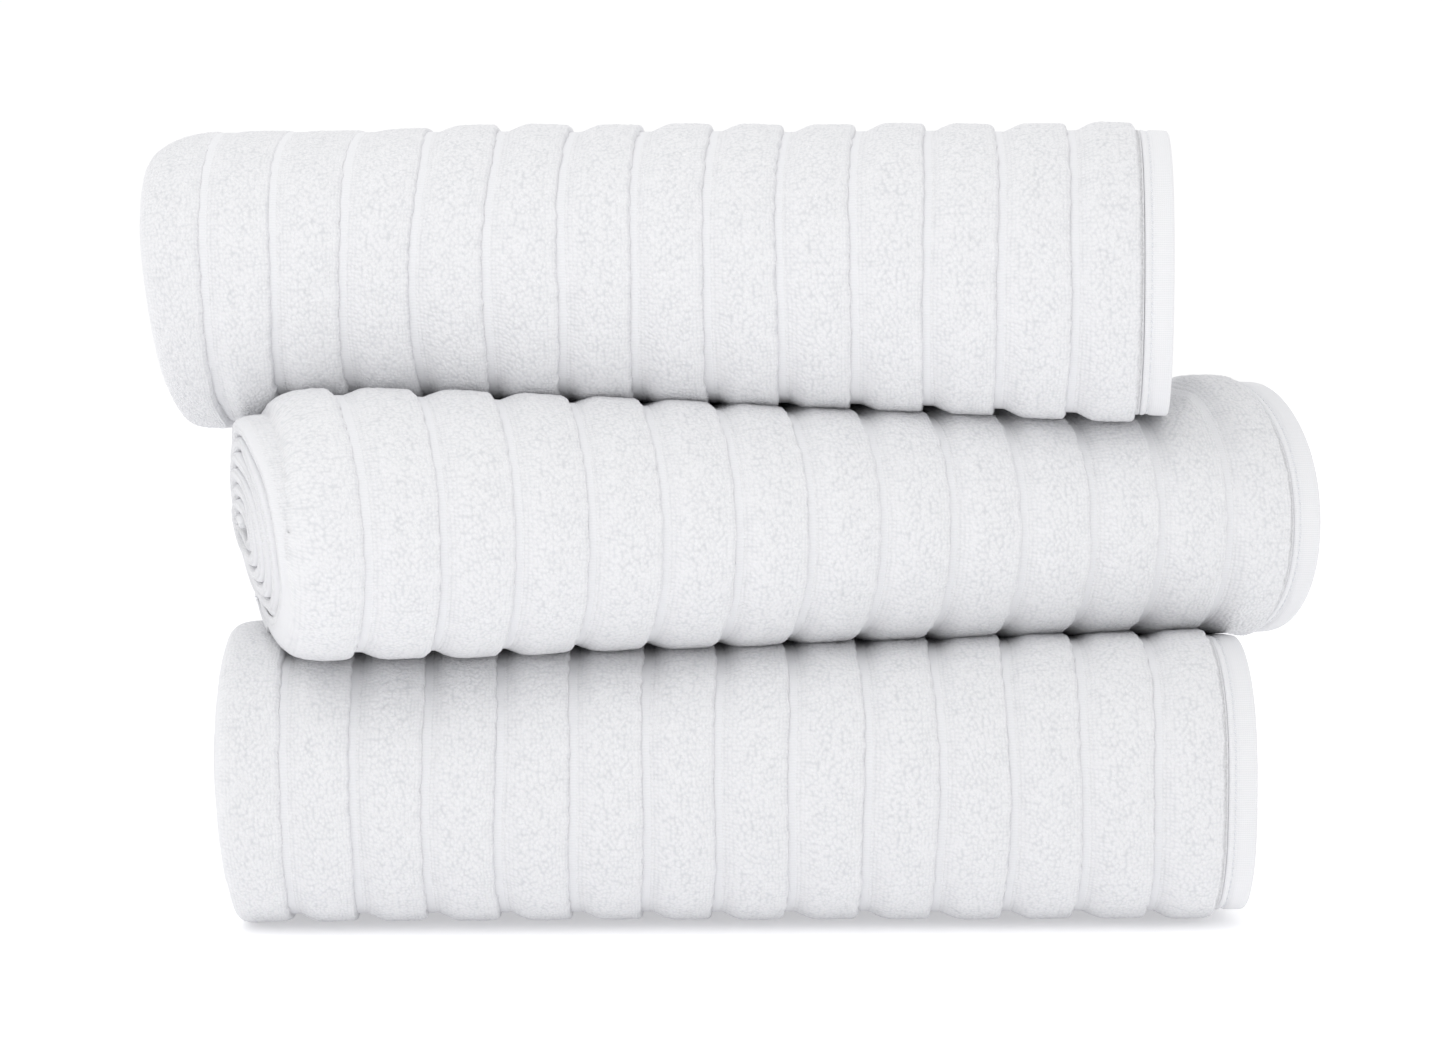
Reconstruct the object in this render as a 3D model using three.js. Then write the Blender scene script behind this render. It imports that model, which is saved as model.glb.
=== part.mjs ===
// A set of three ribbed bath towels in millimetres, +Z up.
// Each towel is folded in half along its length and rolled up from one short end, and the rolls lie stacked.
// The fold is at each roll's -X end and the two side hems are at its +X end.
// The origin is the middle of the set's footprint, on the surface that the bottom towel rests on.
import * as THREE from "three";

// The towel, as it lies flat.
const TOWEL_LENGTH = 1400;
const TOWEL_WIDTH = 700;
const TERRY_THICKNESS = 3.2;

// The hems: flat-woven edges, turned under and sewn down with a seam of thread.
const SIDE_HEM_WIDTH = 9.7;
const SIDE_HEM_THICKNESS = 2;
const END_HEM_WIDTH = 26;
const END_HEM_THICKNESS = 2;
const THREAD_WIDTH = 0.6;
const THREAD_THICKNESS = 0.3;
const SEAM_INSET = 2; // from the terry's edge to the middle of the seam

// How the cloth is wound.
const CLEARANCE = 0.3; // between layers, turns, hems and rolls
const CORE_RADIUS = 0.5; // where the winding starts, about
const LOOSE_END_ANGLE = -60; // from the back of the roll, so the loose end is low at the back

// The rolls, from the bottom up. flat is how far the roll is pressed from a round one into an oval,
// yaw its turn about +Z in degrees, along and across the place of its middle.
const ROLLS = [
  { name: "bottom_towel", flat: 30, yaw: 1.3, along: 1.5, across: -1 },
  { name: "middle_towel", flat: 58, yaw: 13, along: 19, across: 1 },
  { name: "top_towel", flat: 25, yaw: -3, along: -23, across: 7 },
];

// How finely the shapes are faceted.
const ARC_STEPS = 6; // straight stretches in each half turn
const BEND_STEPS = 3; // straight stretches round the fold
const TOLERANCE = 1e-6;

const terry = new THREE.MeshStandardMaterial({ color: "#f1f3f6", roughness: 0.95, metalness: 0 });
const hem = new THREE.MeshStandardMaterial({ color: "#eceff3", roughness: 0.85, metalness: 0 });
const thread = new THREE.MeshStandardMaterial({ color: "#f6f7f9", roughness: 0.6, metalness: 0 });

// What follows from the sizes above.
const ROLL_LENGTH = TOWEL_WIDTH / 2;
const FOLD_X = -ROLL_LENGTH / 2;
const HEM_EDGE_X = ROLL_LENGTH / 2;
const TERRY_EDGE_X = HEM_EDGE_X - SIDE_HEM_WIDTH - CLEARANCE;
const SEAM_X = TERRY_EDGE_X + CLEARANCE + SEAM_INSET;
const SEAM_ROOM = CLEARANCE + THREAD_THICKNESS;
const HEM_THICKNESS = Math.max(SIDE_HEM_THICKNESS, END_HEM_THICKNESS);
const LAYER = Math.max(TERRY_THICKNESS, HEM_THICKNESS + 2 * SEAM_ROOM);
const INNER_LAYER = LAYER / 2; // each layer's middle, out from the doubled cloth's inner face
const CLOTH_MIDDLE = LAYER + CLEARANCE / 2;
const OUTER_LAYER = LAYER * 1.5 + CLEARANCE;
const TURN_PITCH = 2 * (LAYER + CLEARANCE);
const STEP = Math.PI / ARC_STEPS;
const LOOSE_END = STEP * Math.round(THREE.MathUtils.degToRad(LOOSE_END_ANGLE) / STEP);

// A path through stations, each a point with the directions out of the roll and along the cloth.
// A shape extruded along it takes x across the cloth, parallel to the roll, and y outwards.
class WoundPath extends THREE.Curve {
  constructor(stations) {
    super();
    this.stations = stations;
  }

  get steps() {
    return this.stations.length - 1;
  }

  getPointAt(share) {
    return this.stations[Math.round(share * this.steps)].point.clone();
  }

  computeFrenetFrames() {
    return {
      tangents: this.stations.map((station) => station.along),
      normals: this.stations.map(() => new THREE.Vector3(1, 0, 0)),
      binormals: this.stations.map((station) => station.outward),
    };
  }
}

// The winding's stations from the loose end inwards: half turns joined by straight stretches as long as flat.
// radius is the doubled cloth's inner face at the loose end.
function wind(radius, steps, flat) {
  const stations = [];
  for (let i = 0; i <= steps; i++) {
    const angle = LOOSE_END + i * STEP;
    const turned = (i * STEP) / (2 * Math.PI);
    const outward = new THREE.Vector3(0, Math.cos(angle), Math.sin(angle));
    const along = new THREE.Vector3(0, -Math.sin(angle), Math.cos(angle));
    const onFlat = Math.abs(outward.y) < TOLERANCE;
    const sides = onFlat ? [-along.y, along.y] : [Math.sign(outward.y)];
    for (const side of sides) {
      const middle = new THREE.Vector3(0, (side * flat) / 2, 0);
      const point = middle.addScaledVector(outward, radius - TURN_PITCH * turned);
      stations.push({ point, outward, along });
    }
  }
  return stations;
}

// Distance from the first station to each one, along the middle of the doubled cloth.
function distances(stations) {
  const middle = stations.map((s) => s.point.clone().addScaledVector(s.outward, CLOTH_MIDDLE));
  const run = [0];
  for (let i = 1; i < middle.length; i++) run.push(run[i - 1] + middle[i].distanceTo(middle[i - 1]));
  return run;
}

// The winding that takes up the towel's whole length and ends at about the core's radius.
function windTowel(flat) {
  const lengthOf = (radius, steps) => distances(wind(radius, steps, flat)).at(-1);
  const stepsFrom = (radius) => Math.round(((radius - CORE_RADIUS) / TURN_PITCH) * 2 * ARC_STEPS);
  let high = CORE_RADIUS;
  while (lengthOf(high, stepsFrom(high)) < TOWEL_LENGTH) high += TURN_PITCH / (2 * ARC_STEPS);
  const steps = stepsFrom(high);
  let low = 0;
  while (high - low > TOLERANCE) {
    const radius = (low + high) / 2;
    if (lengthOf(radius, steps) < TOWEL_LENGTH) low = radius;
    else high = radius;
  }
  return wind(high, steps, flat);
}

// The stretch of a winding from one distance to another.
function stretch(stations, from, to) {
  const run = distances(stations);
  const stationAt = (distance) => {
    const next = Math.max(1, run.findIndex((d) => d >= distance - TOLERANCE));
    const share = (distance - run[next - 1]) / (run[next] - run[next - 1]);
    const [a, b] = [stations[next - 1], stations[next]];
    return {
      point: a.point.clone().lerp(b.point, share),
      outward: a.outward.clone().lerp(b.outward, share),
      along: a.along.clone().lerp(b.along, share),
    };
  };
  const between = stations.filter((_, i) => run[i] > from + CLEARANCE && run[i] < to - CLEARANCE);
  return [stationAt(from), ...between, stationAt(to)];
}

// Both layers of cloth of the given thickness, joined by the fold at the -X end.
function foldedSection(thickness) {
  const outside = OUTER_LAYER - CLOTH_MIDDLE + thickness / 2;
  const inside = outside - thickness;
  const bend = FOLD_X + outside;
  const section = new THREE.Shape();
  section.moveTo(TERRY_EDGE_X, CLOTH_MIDDLE - outside);
  section.lineTo(TERRY_EDGE_X, CLOTH_MIDDLE - inside);
  section.lineTo(bend, CLOTH_MIDDLE - inside);
  section.lineTo(bend, CLOTH_MIDDLE + inside);
  section.lineTo(TERRY_EDGE_X, CLOTH_MIDDLE + inside);
  section.lineTo(TERRY_EDGE_X, CLOTH_MIDDLE + outside);
  section.absarc(bend, CLOTH_MIDDLE, outside, Math.PI / 2, (3 * Math.PI) / 2, false);
  section.closePath();
  return section;
}

// A strip with the given middle, for a side hem or its seam.
function stripSection(x, height, width, thickness) {
  const section = new THREE.Shape();
  section.moveTo(x - width / 2, height - thickness / 2);
  section.lineTo(x + width / 2, height - thickness / 2);
  section.lineTo(x + width / 2, height + thickness / 2);
  section.lineTo(x - width / 2, height + thickness / 2);
  section.closePath();
  return section;
}

// A side hem in the layer that has its middle at the given height.
function sideHemSection(height) {
  return stripSection(HEM_EDGE_X - SIDE_HEM_WIDTH / 2, height, SIDE_HEM_WIDTH, SIDE_HEM_THICKNESS);
}

// The seam on that hem's outward face.
function sideSeamSection(height) {
  const middle = height + SIDE_HEM_THICKNESS / 2 + SEAM_ROOM - THREAD_THICKNESS / 2;
  return stripSection(SEAM_X, middle, THREAD_WIDTH, THREAD_THICKNESS);
}

// An end hem's seam: along the outward face, round the fold and back along the inward face.
function endSeamSection() {
  const inside = OUTER_LAYER - CLOTH_MIDDLE + END_HEM_THICKNESS / 2 + CLEARANCE;
  const outside = inside + THREAD_THICKNESS;
  const bend = FOLD_X + inside - CLEARANCE;
  const section = new THREE.Shape();
  section.moveTo(TERRY_EDGE_X, CLOTH_MIDDLE + inside);
  section.lineTo(TERRY_EDGE_X, CLOTH_MIDDLE + outside);
  section.absarc(bend, CLOTH_MIDDLE, outside, Math.PI / 2, (3 * Math.PI) / 2, false);
  section.lineTo(TERRY_EDGE_X, CLOTH_MIDDLE - outside);
  section.lineTo(TERRY_EDGE_X, CLOTH_MIDDLE - inside);
  section.absarc(bend, CLOTH_MIDDLE, inside, (3 * Math.PI) / 2, Math.PI / 2, true);
  section.closePath();
  return section;
}

function woundMesh(name, section, stations, material) {
  const path = new WoundPath(stations);
  const geometry = new THREE.ExtrudeGeometry(section, {
    extrudePath: path,
    steps: path.steps,
    curveSegments: BEND_STEPS,
    bevelEnabled: false,
  });
  const mesh = new THREE.Mesh(geometry, material);
  mesh.name = name;
  return mesh;
}

// One rolled towel, lying along X with its lowest face at z = 0.
function rolledTowel(name, flat) {
  const winding = windTowel(flat);
  const end = distances(winding).at(-1);
  const looseEnd = stretch(winding, 0, END_HEM_WIDTH);
  const coreEnd = stretch(winding, end - END_HEM_WIDTH, end);
  const body = stretch(winding, END_HEM_WIDTH + CLEARANCE, end - END_HEM_WIDTH - CLEARANCE);
  const seamAt = (distance) => stretch(winding, distance - THREAD_WIDTH / 2, distance + THREAD_WIDTH / 2);
  const looseSeam = seamAt(END_HEM_WIDTH - SEAM_INSET);
  const coreSeam = seamAt(end - END_HEM_WIDTH + SEAM_INSET);
  const roll = new THREE.Group();
  roll.add(
    woundMesh(`${name}_terry`, foldedSection(TERRY_THICKNESS), body, terry),
    woundMesh(`${name}_loose_end_hem`, foldedSection(END_HEM_THICKNESS), looseEnd, hem),
    woundMesh(`${name}_core_end_hem`, foldedSection(END_HEM_THICKNESS), coreEnd, hem),
    woundMesh(`${name}_outer_side_hem`, sideHemSection(OUTER_LAYER), winding, hem),
    woundMesh(`${name}_inner_side_hem`, sideHemSection(INNER_LAYER), winding, hem),
    woundMesh(`${name}_loose_end_seam`, endSeamSection(), looseSeam, thread),
    woundMesh(`${name}_core_end_seam`, endSeamSection(), coreSeam, thread),
    woundMesh(`${name}_outer_side_seam`, sideSeamSection(OUTER_LAYER), winding, thread),
    woundMesh(`${name}_inner_side_seam`, sideSeamSection(INNER_LAYER), winding, thread),
  );
  const lowest = new THREE.Box3().setFromObject(roll, true).min.z;
  for (const piece of roll.children) piece.position.z = -lowest;
  return roll;
}

const towelSet = new THREE.Group();
let level = 0;
for (const { name, flat, yaw, along, across } of ROLLS) {
  const roll = rolledTowel(name, flat);
  roll.rotation.z = THREE.MathUtils.degToRad(yaw);
  roll.position.set(along, across, level);
  towelSet.add(roll);
  level = new THREE.Box3().setFromObject(roll, true).max.z + CLEARANCE;
}
const footprint = new THREE.Box3().setFromObject(towelSet, true).getCenter(new THREE.Vector3());
towelSet.position.set(-footprint.x, -footprint.y, 0);

export default towelSet;
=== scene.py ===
"""A set of three ribbed terry bath towels, each folded in half, rolled up and stacked. Metres, +Z up.

Each towel is one cloth, 0.70 by 1.40 m. It is folded along its length and wound from one short end, so a
place on it is said by three numbers: run, the distance along the cloth from the loose end; across, the
distance along the roll from its middle; and out, how far it lies outwards from the doubled cloth's middle.
"""

import logging
import math
from dataclasses import dataclass, field
from enum import Enum
from typing import Any

import bpy
import numpy as np
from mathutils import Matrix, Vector


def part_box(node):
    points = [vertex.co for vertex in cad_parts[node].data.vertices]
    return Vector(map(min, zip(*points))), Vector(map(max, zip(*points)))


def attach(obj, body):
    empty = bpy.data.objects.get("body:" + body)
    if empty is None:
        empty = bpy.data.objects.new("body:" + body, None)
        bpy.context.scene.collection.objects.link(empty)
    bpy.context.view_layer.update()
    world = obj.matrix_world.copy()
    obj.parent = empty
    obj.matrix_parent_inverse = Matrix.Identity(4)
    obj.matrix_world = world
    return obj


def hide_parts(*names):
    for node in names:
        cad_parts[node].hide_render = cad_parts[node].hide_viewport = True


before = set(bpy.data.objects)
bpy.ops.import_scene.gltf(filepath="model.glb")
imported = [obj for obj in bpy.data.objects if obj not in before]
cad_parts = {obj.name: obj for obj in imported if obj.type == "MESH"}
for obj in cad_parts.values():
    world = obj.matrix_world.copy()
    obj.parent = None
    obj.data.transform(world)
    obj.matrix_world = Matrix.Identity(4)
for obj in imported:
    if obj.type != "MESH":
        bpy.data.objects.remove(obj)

log = logging.getLogger("towels")

Array = np.ndarray
MM = 0.001
TURN = 2 * math.pi
WEAVE_MAP = "weave"
BAKE_MAP = "OFBake"


class Towel(Enum):
    """The three towels, by the name of the body each rides on."""

    BOTTOM = "bottom_towel"
    MIDDLE = "middle_towel"
    TOP = "top_towel"


class Layer(Enum):
    """The two layers of the doubled cloth, by which way each lies from its middle."""

    OUTER = 1
    INNER = -1


class ClothEnd(Enum):
    """The two short ends of a towel."""

    LOOSE = "loose_end"
    CORE = "core_end"


# Small helpers


def linear(colour: str) -> tuple[float, float, float, float]:
    """Turns an sRGB hex colour into the linear values that shaders take.

    Args:
        colour: six hex digits after a #.

    Returns:
        Red, green, blue and an alpha of 1.
    """
    shares = [int(colour[i : i + 2], 16) / 255 for i in (1, 3, 5)]
    red, green, blue = (s / 12.92 if s <= 0.04045 else ((s + 0.055) / 1.055) ** 2.4 for s in shares)
    return red, green, blue, 1.0


def add_node(tree: bpy.types.NodeTree, kind: str, settings: dict[str, Any], links: dict[Any, Any]) -> Any:
    """Adds a node to a tree.

    Args:
        tree: the tree of a material, a world or a Geometry Nodes group.
        kind: the node's type name.
        settings: the node's own properties by name.
        links: for each input, by name or number, the output that feeds it or the value that it holds.

    Returns:
        The node.
    """
    node = tree.nodes.new(kind)
    for name, value in settings.items():
        setattr(node, name, value)
    for key, value in links.items():
        if isinstance(value, bpy.types.NodeSocket):
            tree.links.new(value, node.inputs[key])
        else:
            node.inputs[key].default_value = value
    return node


def smooth_step(value: Array, start: float, end: float) -> Array:
    """Rises smoothly from 0 where value is start to 1 where it is end."""
    share = np.clip((value - start) / (end - start), 0, 1)
    return share * share * (3 - 2 * share)


class Ripple:
    """A smooth, slow unevenness over a roll's surface, from a few waves in random directions."""

    def __init__(self, seed: int, wavelength: float, waves: int = 7) -> None:
        """Draws the waves.

        Args:
            seed: the seed of the random draws.
            wavelength: the usual distance between crests along the roll.
            waves: how many waves are added up.
        """
        draw = np.random.default_rng(seed)
        self.along = draw.uniform(-1.4, 1.4, waves) * TURN / wavelength
        self.around = draw.integers(1, 6, waves)
        self.phase = draw.uniform(0, TURN, waves)
        self.weight = draw.uniform(0.5, 1, waves) / waves

    def at(self, across: Array, angle: Array) -> Array:
        """The unevenness, about -1 to 1, at places along and round the roll."""
        total = np.zeros(np.broadcast(across, angle).shape)
        for along, around, phase, weight in zip(self.along, self.around, self.phase, self.weight):
            total += 1.6 * weight * np.sin(along * across + around * angle + phase)
        return total


class LoopField:
    """A field of uneven little loops, as high in their middles as they come and lower between them."""

    TABLE = 251

    def __init__(self, seed: int, spacing: float) -> None:
        """Draws the loops' places and heights.

        Args:
            seed: the seed of the random draws.
            spacing: the usual distance from loop to loop.
        """
        draw = np.random.default_rng(seed)
        self.spacing = spacing
        self.nudge = draw.uniform(0.1, 0.9, (2, self.TABLE, self.TABLE))
        self.height = draw.uniform(0.55, 1, (self.TABLE, self.TABLE))

    def at(self, across: Array, run: Array) -> Array:
        """The height of the loops, 0 to 1, at places on the cloth."""
        u, v = np.broadcast_arrays(across / self.spacing, run / self.spacing)
        column, row = np.floor(u).astype(int), np.floor(v).astype(int)
        highest = np.zeros(u.shape)
        for beside in (-1, 0, 1):
            for beyond in (-1, 0, 1):
                i, j = (column + beside) % self.TABLE, (row + beyond) % self.TABLE
                du = column + beside + self.nudge[0, i, j] - u
                dv = row + beyond + self.nudge[1, i, j] - v
                loop = self.height[i, j] * np.clip(1 - (du * du + dv * dv) / 1.1, 0, 1)
                highest = np.maximum(highest, loop)
        return highest


class Wander:
    """A line's small wandering from side to side, drawn once for each cell of its length."""

    TABLE = 997

    def __init__(self, seed: int, cell: float) -> None:
        """Draws the offsets.

        Args:
            seed: the seed of the random draws.
            cell: the distance from one drawn offset to the next.
        """
        self.cell = cell
        self.offsets = np.random.default_rng(seed).uniform(-1, 1, self.TABLE)

    def at(self, run: Array) -> Array:
        """The offset, -1 to 1, at distances along the line."""
        place = run / self.cell
        before = np.floor(place).astype(int)
        share = place - before
        share = share * share * (3 - 2 * share)
        here, next_one = self.offsets[before % self.TABLE], self.offsets[(before + 1) % self.TABLE]
        return here * (1 - share) + next_one * share


# Meshes


@dataclass
class Strip:
    """A closed band: rings of points, one after another along the cloth.

    points is (stations, ring, 3). weave is (stations, ring + 1, 2), the place on the flat cloth in metres.
    """

    points: Array
    weave: Array


def strip_mesh(name: str, strips: list[Strip], material: bpy.types.Material) -> bpy.types.Object:
    """Makes one object of closed bands, with a map of places on the cloth and one for baking.

    Args:
        name: the piece's name.
        strips: the bands.
        material: its finish.

    Returns:
        The object, at the origin, with its place in its mesh.
    """
    points: list[Array] = []
    corners: list[Array] = []
    totals: list[Array] = []
    weaves: list[Array] = []
    bakes: list[Array] = []
    first = 0
    for slot, strip in enumerate(strips):
        stations, ring = strip.points.shape[:2]
        i, j = np.meshgrid(np.arange(stations - 1), np.arange(ring), indexing="ij")
        steps = np.array([(0, 0), (0, 1), (1, 1), (1, 0)])
        rows = i[..., None] + steps[:, 0]
        columns = j[..., None] + steps[:, 1]
        faces = (rows * ring + columns % ring).reshape(-1, 4)
        weave = strip.weave[rows, columns].reshape(-1, 2)
        left, right = (slot + 0.01) / len(strips), (slot + 0.99) / len(strips)
        wide = right - left
        bake = np.stack([left + wide * columns / ring, 0.02 + 0.96 * rows / (stations - 1)], axis=-1)
        caps = np.concatenate([np.arange(ring)[::-1], (stations - 1) * ring + np.arange(ring)])
        cap_columns = np.concatenate([np.arange(ring)[::-1], np.arange(ring)])
        cap_rows = np.repeat([0, stations - 1], ring)
        round_cap = TURN * cap_columns / ring
        height = np.where(np.arange(2 * ring) < ring, 0.005, 0.995) + 0.004 * np.sin(round_cap)
        cap_bake = np.stack([left + wide * (0.5 - 0.4 * np.cos(round_cap)), height], -1)
        points.append(strip.points.reshape(-1, 3))
        corners.append(first + np.concatenate([faces.ravel(), caps]))
        totals.append(np.concatenate([np.full(len(faces), 4), [ring, ring]]))
        weaves.append(np.concatenate([weave, strip.weave[cap_rows, cap_columns]]))
        bakes.append(np.concatenate([bake.reshape(-1, 2), cap_bake]))
        first += stations * ring
    mesh = bpy.data.meshes.new(name)
    places, loops, sizes = np.concatenate(points), np.concatenate(corners), np.concatenate(totals)
    mesh.vertices.add(len(places))
    mesh.vertices.foreach_set("co", places.astype(np.float32).ravel())
    mesh.loops.add(len(loops))
    mesh.loops.foreach_set("vertex_index", loops.astype(np.int32))
    mesh.polygons.add(len(sizes))
    mesh.polygons.foreach_set("loop_start", (np.cumsum(sizes) - sizes).astype(np.int32))
    mesh.polygons.foreach_set("use_smooth", np.ones(len(sizes), bool))
    for map_name, values in ((WEAVE_MAP, weaves), (BAKE_MAP, bakes)):
        uv = mesh.uv_layers.new(name=map_name)
        uv.data.foreach_set("uv", np.concatenate(values).astype(np.float32).ravel())
    mesh.uv_layers[WEAVE_MAP].active_render = True
    mesh.update(calc_edges=True)
    mesh.validate()
    if signed_volume(mesh) < 0:
        mesh.flip_normals()
    mesh.materials.append(material)
    piece = bpy.data.objects.new(name, mesh)
    bpy.context.scene.collection.objects.link(piece)
    return piece


def signed_volume(mesh: bpy.types.Mesh) -> float:
    """The volume inside a closed mesh, below zero where its faces point inwards."""
    mesh.calc_loop_triangles()
    points = np.zeros(len(mesh.vertices) * 3, np.float32)
    mesh.vertices.foreach_get("co", points)
    corners = np.zeros(len(mesh.loop_triangles) * 3, np.int32)
    mesh.loop_triangles.foreach_get("vertices", corners)
    a, b, c = points.reshape(-1, 3)[corners.reshape(-1, 3)].transpose(1, 0, 2).astype(float)
    return float((a * np.cross(b, c)).sum() / 6)


# The cloth and how it is rolled


@dataclass(frozen=True)
class RibWeave:
    """A ribbed bath towel as it is woven: bands of terry loops with narrow plain bands between them."""

    length: float = 1.40
    width: float = 0.70
    ribs: int = 14  # on each half of the folded towel
    rib_pitch: float = 24.3 * MM
    groove_width: float = 2.5 * MM
    pile_height: float = 2.5 * MM
    loop_spacing: float = 1.5 * MM
    loop_relief: float = 0.5 * MM
    side_hem_width: float = 9.7 * MM
    end_hem_width: float = 26 * MM
    hem_thickness: float = 2.3 * MM
    seam_inset: float = 2.3 * MM  # from the terry's edge to the seam
    clearance: float = 0.3 * MM

    @property
    def fold(self) -> float:
        """Where the fold is along the roll."""
        return -self.width / 4

    @property
    def edge(self) -> float:
        """Where the side hems end along the roll."""
        return self.width / 4

    @property
    def terry_edge(self) -> float:
        """Where the terry ends and the side hems begin."""
        return self.edge - self.side_hem_width - self.clearance

    def rib_edges(self, rib: int) -> tuple[float, float]:
        """Where a rib of the outer layer begins and ends along the roll."""
        start = self.fold + self.rib_pitch * rib + self.groove_width
        end = self.fold + self.rib_pitch * (rib + 1)
        return start, min(end, self.terry_edge - self.groove_width / 2)


@dataclass(frozen=True)
class Place:
    """Where a roll lies: its axis's middle, its turn about +Z and its lowest and highest points."""

    x: float
    y: float
    yaw: float
    low: float
    high: float

    @classmethod
    def of(cls, towel: Towel, weave: RibWeave) -> "Place":
        """Reads a roll's place from the frame: its axis runs from the terry's middle to the side hem's."""
        terry, hem = (cls.middle_of(f"{towel.value}_{part}") for part in ("terry", "outer_side_hem"))
        axis = hem - terry
        yaw = math.atan2(axis.y, axis.x)
        reach = weave.edge - weave.side_hem_width / 2
        low, high = (corner.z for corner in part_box(f"{towel.value}_terry"))
        return cls(hem.x - reach * math.cos(yaw), hem.y - reach * math.sin(yaw), yaw, low, high)

    @staticmethod
    def middle_of(node: str) -> Vector:
        """The middle of a CAD node's points."""
        points = np.array([v.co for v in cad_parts[node].data.vertices])
        if node.endswith("terry"):
            return Vector((points.min(0) + points.max(0)) / 2)
        return Vector(points.mean(0))


@dataclass(frozen=True)
class Roll:
    """How one towel is rolled and how it lies."""

    towel: Towel
    seed: int
    half_depth: float
    squareness: float  # 2 is an ellipse, and more is squarer
    sink: float  # how far it would reach below and rise above its space if nothing pressed on it
    rise: float
    shoulder: float  # how far the fold's end is rounded in
    shoulder_length: float
    dome: float  # how far the core stands out beyond the fold's end
    drawn: float = 0.0  # how far the fold's end is drawn in by the bend of the cloth
    lean: float = 0.0  # how much further the top of the fold's end stands out than its bottom
    taut: float = 0.0  # how much of the ribs' height is pulled flat over the top at the fold's end


class RolledForm:
    """The shape of a roll: a flattened spiral that gives way where it presses on the floor or a neighbour."""

    LOOSE_END = math.radians(-60)  # from the back of the roll, turning up over the top to the front
    CORE = 0.4 * MM
    SOFTNESS = 1.6 * MM
    BITE = 1.4 * MM  # how far the pile of two rolls sinks into each other's
    SPREAD = 1.12  # a roll presses on its neighbour a little beyond its own sides
    CORE_TURNS = 0.4  # the cloth is wound on until it fills its own middle
    FOLD_REACH = 25 * MM  # how far from the fold its bulge and its lean die away
    SWELL = 0.011  # share of the radius
    SWAY = 1.2 * MM
    SLIP = 0.8 * MM  # of the turns past each other at the fold
    LEAST_HEIGHT = 8 * MM  # below this half height, pressing acts as if on a roll this high
    SAMPLES = 9000

    def __init__(self, roll: Roll, weave: RibWeave) -> None:
        """Works out the winding from the towel's length.

        Args:
            roll: how the towel is rolled.
            weave: the towel's sizes.
        """
        self.roll = roll
        self.weave = weave
        self.place = Place.of(roll.towel, weave)
        self.below: RolledForm | None = None
        self.above: RolledForm | None = None
        low, high = self.place.low - roll.sink, self.place.high + roll.rise
        self.middle = (low + high) / 2
        self.half_height = (high - low) / 2
        self.swell = Ripple(roll.seed, 90 * MM)
        self.sway = Ripple(roll.seed + 1, 110 * MM)
        self.slip = Wander(roll.seed + 2, 35 * MM)
        thin, thick = 4 * MM, 12 * MM
        for _ in range(40):
            self.pitch = (thin + thick) / 2
            self.turns, self.runs = self.wind()
            if self.runs[-1] > weave.length:
                thin = self.pitch
            else:
                thick = self.pitch

    def wind(self) -> tuple[Array, Array]:
        """The angle turned through and the distance along the cloth, at samples from the loose end."""
        room = self.half_height - self.weave.pile_height - self.pitch / 3 - self.CORE
        last = TURN * (room / self.pitch + self.CORE_TURNS)
        turned = np.linspace(0, last, self.SAMPLES)
        y, z = self.section(turned, 0.0)
        steps = np.hypot(np.diff(y), np.diff(z))
        return turned, np.concatenate([[0], np.cumsum(steps)])

    def section(self, turned: Array, out: Array | float) -> tuple[Array, Array]:
        """A point of the spiral in the roll's cross-section, before anything presses on it.

        Args:
            turned: the angle turned through from the loose end.
            out: how far out from the middle of the doubled cloth.

        Returns:
            The distances back and up from the roll's middle.
        """
        angle = self.LOOSE_END + turned
        depth = self.pitch * (turned / TURN + 0.5) - out
        ground = self.pitch * 2 / 3 - self.weave.pile_height
        half_depth = np.maximum(self.roll.half_depth + ground - depth, self.CORE)
        half_height = np.maximum(self.half_height + ground - depth, self.CORE / 2)
        power = self.roll.squareness
        cosine, sine = np.cos(angle), np.sin(angle)
        reach = (np.abs(cosine) / half_depth) ** power + (np.abs(sine) / half_height) ** power
        radius = reach ** (-1 / power)
        return radius * cosine, radius * sine - self.pitch / 4

    def turned_at(self, run: Array) -> Array:
        """The angle turned through at distances along the cloth."""
        return np.interp(run, self.runs, self.turns)

    def run_at(self, turned: float) -> float:
        """The distance along the cloth where it has turned through an angle."""
        return float(np.interp(turned, self.turns, self.runs))

    def narrowing(self, along: Array) -> Array:
        """How much of its full section the roll has, along its length: less at the rounded fold's end."""
        share = np.clip(1 - (along - self.weave.fold) / self.roll.shoulder_length, 0, 1)
        rounding = 1 - (1 - share**2.2) ** (1 / 2.2)
        return 1 - self.roll.shoulder / self.roll.half_depth * rounding

    def profile(self, x: Array, y: Array, spread: float = 1.0) -> Array:
        """The share of the half height that the roll has above a place, 0 beyond its sides and ends.

        Args:
            x: the places' x in the frame.
            y: the places' y.
            spread: how many times as deep the roll is taken to be.

        Returns:
            The share at each place, 0 to 1.
        """
        east, north = x - self.place.x, y - self.place.y
        cosine, sine = math.cos(self.place.yaw), math.sin(self.place.yaw)
        along, across = east * cosine + north * sine, north * cosine - east * sine
        narrow = self.narrowing(along)
        reach = self.roll.half_depth * narrow * spread
        side = np.clip(1 - np.abs(across / reach) ** self.roll.squareness, 0, 1)
        past = np.maximum(np.abs(along) - self.weave.edge, 0)
        return narrow * side ** (1 / self.roll.squareness) * (1 - smooth_step(past, 0, 30 * MM))

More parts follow.
